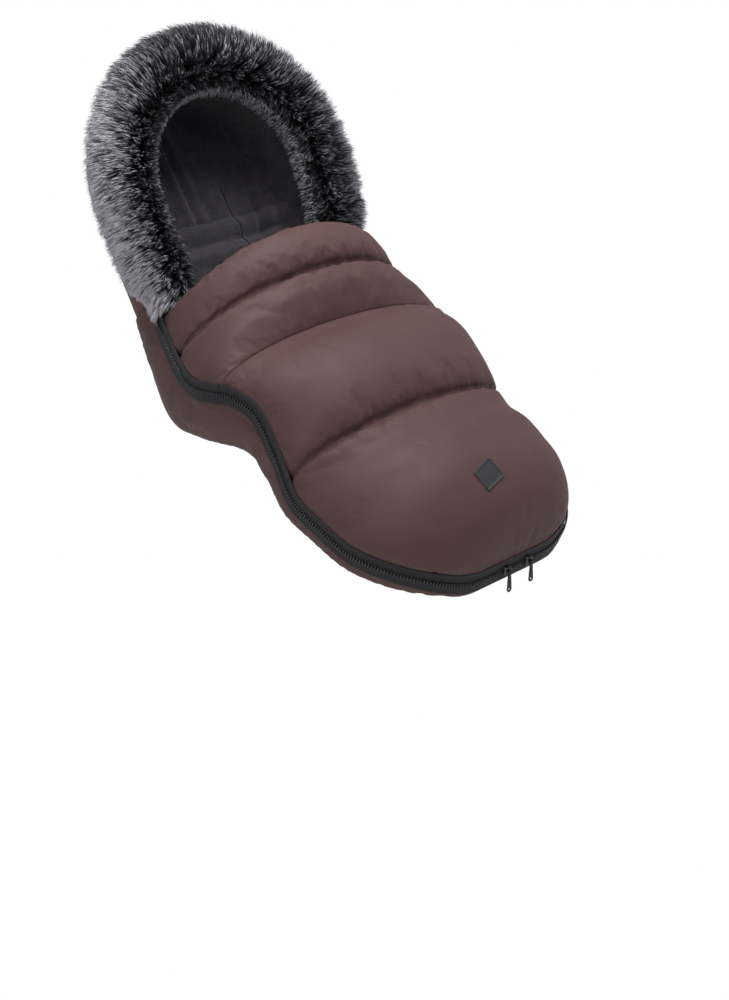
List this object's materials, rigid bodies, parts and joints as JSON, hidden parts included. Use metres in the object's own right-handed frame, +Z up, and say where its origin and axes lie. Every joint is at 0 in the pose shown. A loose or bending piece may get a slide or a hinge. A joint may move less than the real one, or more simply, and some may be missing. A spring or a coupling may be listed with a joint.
{
  "type": "baby bunting bag",
  "caption": "Padded quilted bunting bag for a pram seat, with a zip round the cover, a plush lining, a fur-trimmed hood and harness slots.",
  "frame": {"origin": "middle of the underside of the seat grip patch, where the pram seat carries the bag", "axes": "+X across the bag, +Y towards the head, +Z up"},
  "size_m": [0.4272, 0.755, 0.6226],
  "materials": {
    "brown_nylon": "matt-satin woven nylon over wadding, chocolate brown",
    "charcoal_plush": "short charcoal plush pile",
    "grey_tipped_fur": "long artificial fur, charcoal roots and pale grey tips",
    "black_zip_tape": "woven black zip tape",
    "black_zip_teeth": "moulded black zip teeth, slight sheen",
    "black_lacquered_metal": "black lacquered die-cast metal",
    "grey_rubber_label": "soft dark grey rubber, bare",
    "black_grip_fabric": "black dotted anti-slip fabric",
    "brown_binding": "stiff woven brown binding"
  },
  "bodies": {
    "bag": {"back_shell": "brown_nylon", "back_lining": "charcoal_plush", "hood_shell": "brown_nylon", "hood_lining": "charcoal_plush", "fur_trim": "grey_tipped_fur", "foot_cover": "brown_nylon", "foot_lining": "charcoal_plush", "shell_zip_tape": "black_zip_tape", "shell_zip_teeth": "black_zip_teeth", "foot_zip_tape": "black_zip_tape", "foot_zip_teeth": "black_zip_teeth", "label_patch": "grey_rubber_label", "seat_grip_patch": "black_grip_fabric", "back_grip_patch": "black_grip_fabric", "slot_binding_crotch": "brown_binding", "slot_binding_hip_left": "brown_binding", "slot_binding_hip_right": "brown_binding", "slot_binding_shoulder_left": "brown_binding", "slot_binding_shoulder_right": "brown_binding", "zip_stop_left": "black_lacquered_metal", "zip_stop_right": "black_lacquered_metal"},
    "flap": {"flap_cover": "brown_nylon", "flap_lining": "charcoal_plush", "flap_zip_tape_left": "black_zip_tape", "flap_zip_tape_right": "black_zip_tape", "flap_zip_teeth_left": "black_zip_teeth", "flap_zip_teeth_right": "black_zip_teeth"},
    "slider_left": {"zip_slider_left": "black_lacquered_metal"},
    "slider_right": {"zip_slider_right": "black_lacquered_metal"},
    "pull_left": {"zip_pull_left": "black_lacquered_metal"},
    "pull_right": {"zip_pull_right": "black_lacquered_metal"}
  },
  "joints": [
    {"name": "flap_fold", "type": "hinge", "parent": "bag", "child": "flap", "pos_m": [0, -0.06233, 0.164], "axis": [1, 0, 0], "range_deg": [0, 105]},
    {"name": "zip_run_left", "type": "slide", "parent": "bag", "child": "slider_left", "axis": [1, 0, 0], "range_m": [-0.034, 0]},
    {"name": "zip_run_right", "type": "slide", "parent": "bag", "child": "slider_right", "axis": [1, 0, 0], "range_m": [0, 0.02]},
    {"name": "pull_swing_left", "type": "hinge", "parent": "slider_left", "child": "pull_left", "pos_m": [-0.013, -0.37012, -0.09361], "axis": [-1, 0, 0], "range_deg": [-30, 160]},
    {"name": "pull_swing_right", "type": "hinge", "parent": "slider_right", "child": "pull_right", "pos_m": [0.028, -0.37012, -0.09361], "axis": [-1, 0, 0], "range_deg": [-30, 160]}
  ]
}
